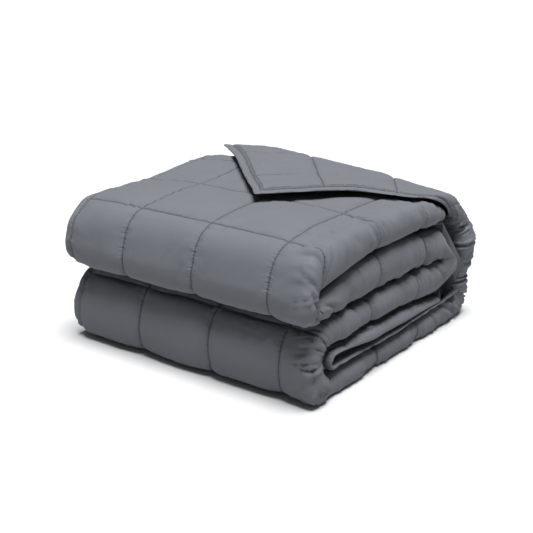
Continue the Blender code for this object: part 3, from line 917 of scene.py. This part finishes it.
def quilt_mesh(sizes):
    """The whole folded cloth as one closed mesh, with its place in the flat cloth as UVs."""
    columns = grid_lines(COLUMN_STEPS, seam_lines(EDGE_COLUMN, COLUMN_SEAMS))
    rows = grid_lines(ROW_STEPS, seam_lines(START_ROW, ROW_SEAMS))
    across, along = np.meshgrid(columns, rows)
    full = relief(across, along, sizes)
    drifted = wandered(across, along)
    outer = pile_point(*drifted, full)
    detail = sum(part(across, along, sizes) for part in (puckers, wrinkles, gathers))
    detail = detail + single_creases(across, along)
    detail = np.maximum(detail, -full * TOP_STRIP / LAYERS)
    outer = outer + grid_normals(pile_point(*drifted, 1.0)) * detail[..., None]
    inner_across, inner_along = across[::2, ::2], along[::2, ::2]
    inner = pile_point(drifted[0][::2, ::2], drifted[1][::2, ::2], -full[::2, ::2])
    points = np.concatenate([outer.reshape(-1, 3), inner.reshape(-1, 3)])
    points += pile_place()
    points[:, 2] = np.maximum(points[:, 2], 0.0)
    faces = quilt_faces(len(rows), len(columns), *inner_across.shape)
    flat = np.concatenate([
        np.stack([across.ravel(), along.ravel()], axis=-1),
        np.stack([inner_across.ravel(), inner_along.ravel()], axis=-1),
    ])
    mesh = bpy.data.meshes.new("quilted_blanket")
    mesh.from_pydata(points.tolist(), [], faces)
    layer = mesh.uv_layers.new(name="flat cloth")
    corners = np.zeros(len(mesh.loops), dtype=np.int32)
    mesh.loops.foreach_get("vertex_index", corners)
    layer.data.foreach_set("uv", flat[corners].astype(np.float32).ravel())
    mesh.shade_smooth()
    return mesh


# The finest gathers beside the stitching: how far they reach, how long and how wide each one is
PUCKER_REACH = 0.010
PUCKER_LENGTH = 0.014
PUCKER_WIDTH = 0.0042

# The painted shade in a seam's or hem row's groove, and how much more of it there is on a stitch
# and less between two
PAINTED_GROOVE_SHADE = 0.8
STITCH_SHADE = 0.35

# The cotton's surface: the mottling's and the fibres' scale, the shade without both and what each
# adds, and how the mottling fades the seam lines, from the narrowest share of their width
MOTTLE_SCALE = 22.0
FIBRE_SCALE = 1100.0
PLAIN_SHADE = 0.90
MOTTLE_SHADE = 0.14
FIBRE_SHADE = 0.06
NARROWEST_LINE = 0.65
LINE_FADING = 0.7
COTTON_ROUGHNESS = 0.82
COTTON_SHINE = 0.35

# The finest relief, in units of a millimetre: the weave's and the fibres' height and how deep the
# stitched lines are
BUMP_UNIT = 0.001
WEAVE_HEIGHT = 0.05
FIBRE_HEIGHT = 0.03
LINE_DEPTH = 0.15


class Socket:
    """A shader socket that adds its own Math nodes when it is used in an expression."""

    def __init__(self, tree, link):
        self.tree = tree
        self.link = link

    def math(self, operation, *others, first=None):
        node = self.tree.nodes.new("ShaderNodeMath")
        node.operation = operation
        values = ([first] if first is not None else []) + [self, *others]
        for slot, value in zip(node.inputs, values):
            if isinstance(value, Socket):
                self.tree.links.new(value.link, slot)
            else:
                slot.default_value = value
        return Socket(self.tree, node.outputs[0])

    def __add__(self, other):
        return self.math("ADD", other)

    __radd__ = __add__

    def __mul__(self, other):
        return self.math("MULTIPLY", other)

    __rmul__ = __mul__

    def __sub__(self, other):
        return self.math("SUBTRACT", other)

    def __rsub__(self, other):
        return self.math("SUBTRACT", first=other)

    def __truediv__(self, other):
        return self.math("DIVIDE", other)


class ShaderDesk:
    """Makes the nodes of one material."""

    def __init__(self, name):
        self.material = bpy.data.materials.new(name)
        self.material.use_nodes = True
        self.tree = self.material.node_tree
        self.shader = self.tree.nodes["Principled BSDF"]

    def node(self, kind, settings=None, output=0, **values):
        """Adds a node, with its settings first and then its sockets' values or links."""
        made = self.tree.nodes.new("ShaderNode" + kind)
        for key, value in (settings or {}).items():
            setattr(made, key, value)
        for key, value in values.items():
            slot = next(slot for slot in made.inputs if slot.identifier == key)
            if isinstance(value, Socket):
                self.tree.links.new(value.link, slot)
            else:
                slot.default_value = value
        return Socket(self.tree, made.outputs[output])

    def feed(self, name, value):
        slot = self.shader.inputs[name]
        if isinstance(value, Socket):
            self.tree.links.new(value.link, slot)
        else:
            slot.default_value = value


def line_distance(place, first, pitch):
    """How far a place is from the nearest of a row of evenly spaced lines."""
    return (((place - first) / pitch + 0.5).math("FRACT") - 0.5).math("ABSOLUTE") * pitch


def edge_distance(place, flat):
    """How far a place is from the nearer edge of the cloth, one way."""
    return place.math("MINIMUM", flat - place)


def seam_shade_line(distance, way, half, colours):
    """How much painted shade darkens a seam or hem row: darkest in its soft groove, with short
    stitches along it.
    """
    groove = 1.0 - (distance / half).math("MINIMUM", 1.0)
    stitch = (way * (math.tau / colours.stitch_pitch)).math("SINE")
    return groove * (PAINTED_GROOVE_SHADE + STITCH_SHADE * stitch)


def stitch_puckers(desk, place, way, edge, first):
    """The finest gathers beside the stitching of one way, as heights around zero."""
    near = line_distance(place, first, SQUARE).math("MINIMUM", (edge - HEM_BAND).math("ABSOLUTE"))
    window = (1.0 - near / PUCKER_REACH).math("MAXIMUM", 0.0)
    flow = desk.node("CombineXYZ", X=place * (1 / PUCKER_LENGTH), Y=way * (1 / PUCKER_WIDTH))
    waves = desk.node("TexNoise", Vector=flow, Scale=1.0, Detail=1.0)
    return (waves - 0.5) * window


def cotton_material(colours):
    """Slate cotton with a fine plain weave, soft mottling, and painted shade with rows of stitches
    along the seams and hems.
    """
    desk = ShaderDesk("slate quilting cotton")
    place = desk.node("UVMap", {"uv_map": "flat cloth"})
    across = desk.node("SeparateXYZ", Vector=place)
    along = desk.node("SeparateXYZ", output=1, Vector=place)
    objects = desk.node("TexCoord", output=3)
    mottle = desk.node("TexNoise", Vector=objects, Scale=MOTTLE_SCALE, Detail=5.0, Roughness=0.65)
    fibre = desk.node("TexNoise", Vector=objects, Scale=FIBRE_SCALE, Detail=2.0, Roughness=0.6)
    edge_u, edge_v = edge_distance(across, FLAT_WIDTH), edge_distance(along, FLAT_LENGTH)
    edge = edge_u.math("MINIMUM", edge_v)
    inside = edge.math("GREATER_THAN", HEM_BAND)
    half = colours.seam_line * (NARROWEST_LINE + LINE_FADING * mottle)
    seams_u = seam_shade_line(line_distance(across, EDGE_COLUMN, SQUARE), along, half, colours)
    seams_v = seam_shade_line(line_distance(along, START_ROW, SQUARE), across, half, colours)
    half = 0.5 * half
    hems_u = seam_shade_line(line_distance(edge_u, HEM_BAND, STITCH_ROWS), along, half, colours)
    hems_v = seam_shade_line(line_distance(edge_v, HEM_BAND, STITCH_ROWS), across, half, colours)
    in_rows = edge.math("GREATER_THAN", HEM_BAND - STITCH_ROWS / 2)
    in_rows = in_rows * edge.math("LESS_THAN", HEM_BAND + 1.5 * STITCH_ROWS)
    hems = hems_u.math("MAXIMUM", hems_v) * in_rows
    # lines marks the seams and hem rows that are darkened: painted shade in their grooves, with
    # stitch dashes along them
    lines = (seams_u.math("MAXIMUM", seams_v) * inside).math("MAXIMUM", hems)
    shade = PLAIN_SHADE + MOTTLE_SHADE * mottle + FIBRE_SHADE * fibre
    # Painted shade: the cotton's colour is darkened along the seam and hem grooves
    shade = shade * (1.0 - colours.seam_painted_shade * lines)
    cotton = desk.node("CombineXYZ", X=shade, Y=shade, Z=shade)
    tinted = desk.node(
        "VectorMath", {"operation": "MULTIPLY"}, Vector=cotton, Vector_001=tuple(colours.cotton)
    )
    desk.feed("Base Color", tinted)
    desk.feed("Roughness", COTTON_ROUGHNESS)
    desk.feed("Specular IOR Level", COTTON_SHINE)
    warp = (across * (math.tau / colours.thread_pitch)).math("SINE")
    weft = (along * (math.tau / colours.thread_pitch)).math("SINE")
    pulled = stitch_puckers(desk, across, along, edge_u, EDGE_COLUMN)
    pulled = pulled + stitch_puckers(desk, along, across, edge_v, START_ROW)
    height = WEAVE_HEIGHT * (warp * weft) + FIBRE_HEIGHT * fibre
    height = height - LINE_DEPTH * lines + colours.pucker_bump * pulled
    desk.feed("Normal", desk.node("Bump", Strength=1.0, Distance=BUMP_UNIT, Height=height))
    return desk.material


class QuiltSizes(bpy.types.PropertyGroup):
    seam_width: FloatProperty(
        name="Seam width", description="How far from a seam the padding takes to rise",
        default=0.0042, unit="LENGTH",
    )
    seam_share: FloatProperty(
        name="Seam height", description="Padding left at a seam, as a share of the full padding",
        default=0.40, subtype="FACTOR",
    )
    crown_share: FloatProperty(
        name="Crown", description="How much of the padding's rise is one broad crown",
        default=0.3, subtype="FACTOR",
    )
    hem_share: FloatProperty(
        name="Hem height", description="Thickness of the hem, as a share of the full padding",
        default=0.30, subtype="FACTOR",
    )
    stitch_share: FloatProperty(
        name="Stitch depth", description="How deep the hem's stitches pull in, as a share",
        default=0.07, subtype="FACTOR",
    )
    pucker_pitch: FloatProperty(
        name="Pucker pitch", description="From one gather to the next along a seam",
        default=0.012, unit="LENGTH",
    )
    pucker_depth: FloatProperty(
        name="Pucker depth", description="How deep the gathers beside a seam are",
        default=0.0019, unit="LENGTH",
    )
    wrinkle_depth: FloatProperty(
        name="Wrinkle depth", description="How uneven the filled squares are",
        default=0.0011, unit="LENGTH",
    )
    gather_pitch: FloatProperty(
        name="Gather pitch", description="From one crease over the folded edge to the next",
        default=0.011, unit="LENGTH",
    )
    gather_depth: FloatProperty(
        name="Gather depth", description="How deep the creases over the folded edge are",
        default=0.0034, unit="LENGTH",
    )


class ClothColours(bpy.types.PropertyGroup):
    cotton: FloatVectorProperty(
        name="Cotton", description="Colour of the slate cotton", subtype="COLOR",
        default=(0.118, 0.126, 0.141), min=0.0, max=1.0,
    )
    # The seam line's width and darkness set the painted shade in the grooves of the seams and hem
    # rows, with stitch dashes along it
    seam_line: FloatProperty(
        name="Seam line", description="Half the width of the dark line in a seam",
        default=0.0020, unit="LENGTH",
    )
    seam_painted_shade: FloatProperty(
        name="Seam darkness", description="How much darker the line in a seam is",
        default=0.75, subtype="FACTOR",
    )
    stitch_pitch: FloatProperty(
        name="Stitch pitch", description="From one stitch to the next",
        default=0.0032, unit="LENGTH",
    )
    pucker_bump: FloatProperty(
        name="Fine puckers", description="How high the finest gathers are, in millimetres",
        default=2.5,
    )
    thread_pitch: FloatProperty(
        name="Weave pitch", description="From one yarn of the weave to the next",
        default=0.0007, unit="LENGTH",
    )


class StudioLook(bpy.types.PropertyGroup):
    floor: FloatVectorProperty(
        name="Floor", description="Colour of the plain floor", subtype="COLOR",
        default=(0.56, 0.565, 0.575), min=0.0, max=1.0,
    )
    key_strength: FloatProperty(
        name="Overhead light", description="Strength of the soft light from overhead",
        default=6.0,
    )
    key_softness: FloatProperty(
        name="Light softness", description="How wide the overhead light is",
        default=math.radians(30.0), subtype="ANGLE",
    )
    world_strength: FloatProperty(
        name="Surroundings", description="Strength of the even light all round", default=0.16,
    )


class BLANKET_OT_fold_cloth(bpy.types.Operator):
    """Fold the quilted cloth into its pile of two rolls with a loose corner on top"""

    bl_idname = "blanket.fold_cloth"
    bl_label = "Fold the quilted cloth"

    def execute(self, context):
        mesh = quilt_mesh(context.scene.quilt_sizes)
        cloth = bpy.data.objects.new("quilted_blanket", mesh)
        context.scene.collection.objects.link(cloth)
        mesh.materials.append(cotton_material(context.scene.cloth_colours))
        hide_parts("blanket")
        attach(cloth, "root")
        return {"FINISHED"}


# Where the overhead light shines: down, and a little towards the left and the back
KEY_AIM = (-0.13, 0.06, -1.0)

# The floor: how wide it is, how far it lies under the blanket, and its roughness
FLOOR_SIZE = 40.0
FLOOR_DROP = 0.0005
FLOOR_ROUGHNESS = 0.9

# The photograph's camera: its place from the pile's right front corner, where it looks, its lens
# and sensor in millimetres, and the nearest that it sees
CAMERA_PLACE = (0.664, -1.000, 0.607)
CAMERA_AIM = (-0.5622, 0.7598, -0.3267)
CAMERA_LENS = 71.6
CAMERA_SENSOR = 36.0
CAMERA_NEAREST = 0.05


def aimed(direction):
    """The turn that points a lamp or a camera in a direction, with its top up."""
    return Vector(direction).to_track_quat("-Z", "Y").to_euler()


class BLANKET_OT_set_stage(bpy.types.Operator):
    """Set the plain floor, the soft light and the camera"""

    bl_idname = "blanket.set_stage"
    bl_label = "Set the stage"

    def execute(self, context):
        look = context.scene.studio_look
        bpy.ops.mesh.primitive_plane_add(size=FLOOR_SIZE, location=(0.0, 0.0, -FLOOR_DROP))
        floor = context.object
        floor.name = "floor"
        desk = ShaderDesk("plain floor")
        desk.feed("Base Color", (*look.floor, 1.0))
        desk.feed("Roughness", FLOOR_ROUGHNESS)
        floor.data.materials.append(desk.material)
        world = bpy.data.worlds.new("studio")
        world.use_nodes = True
        sky = world.node_tree.nodes["Background"]
        sky.inputs["Color"].default_value = (1.0, 1.0, 1.0, 1.0)
        sky.inputs["Strength"].default_value = look.world_strength
        context.scene.world = world
        data = bpy.data.lights.new("overhead light", "SUN")
        data.energy = look.key_strength
        data.angle = look.key_softness
        lamp = bpy.data.objects.new("overhead light", data)
        lamp.rotation_euler = aimed(KEY_AIM)
        context.scene.collection.objects.link(lamp)
        camera = bpy.data.cameras.new("photograph")
        camera.lens = CAMERA_LENS
        camera.sensor_width = CAMERA_SENSOR
        camera.clip_start = CAMERA_NEAREST
        viewer = bpy.data.objects.new("photograph", camera)
        viewer.location = Vector(pile_place()) + Vector(CAMERA_PLACE)
        viewer.rotation_euler = aimed(CAMERA_AIM)
        context.scene.collection.objects.link(viewer)
        context.scene.camera = viewer
        context.scene.view_settings.view_transform = "Standard"
        return {"FINISHED"}


class BLANKET_PT_panel(bpy.types.Panel):
    bl_idname = "BLANKET_PT_panel"
    bl_label = "Weighted Blanket"
    bl_space_type = "VIEW_3D"
    bl_region_type = "UI"
    bl_category = "Blanket"

    def draw(self, context):
        layout = self.layout
        for group in ("quilt_sizes", "cloth_colours", "studio_look"):
            settings = getattr(context.scene, group)
            box = layout.box()
            for name in settings.bl_rna.properties.keys():
                if name not in ("rna_type", "name"):
                    box.prop(settings, name)
        for operator in OPERATORS:
            layout.operator(operator.bl_idname)


OPERATORS = (BLANKET_OT_fold_cloth, BLANKET_OT_set_stage)
CLASSES = (QuiltSizes, ClothColours, StudioLook, *OPERATORS, BLANKET_PT_panel)


def register():
    for group in CLASSES:
        bpy.utils.register_class(group)
    bpy.types.Scene.quilt_sizes = PointerProperty(type=QuiltSizes)
    bpy.types.Scene.cloth_colours = PointerProperty(type=ClothColours)
    bpy.types.Scene.studio_look = PointerProperty(type=StudioLook)


def unregister():
    del bpy.types.Scene.studio_look
    del bpy.types.Scene.cloth_colours
    del bpy.types.Scene.quilt_sizes
    for group in reversed(CLASSES):
        bpy.utils.unregister_class(group)


def main():
    register()
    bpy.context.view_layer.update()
    bpy.ops.blanket.fold_cloth()
    bpy.ops.blanket.set_stage()


if __name__ == "__main__":
    main()
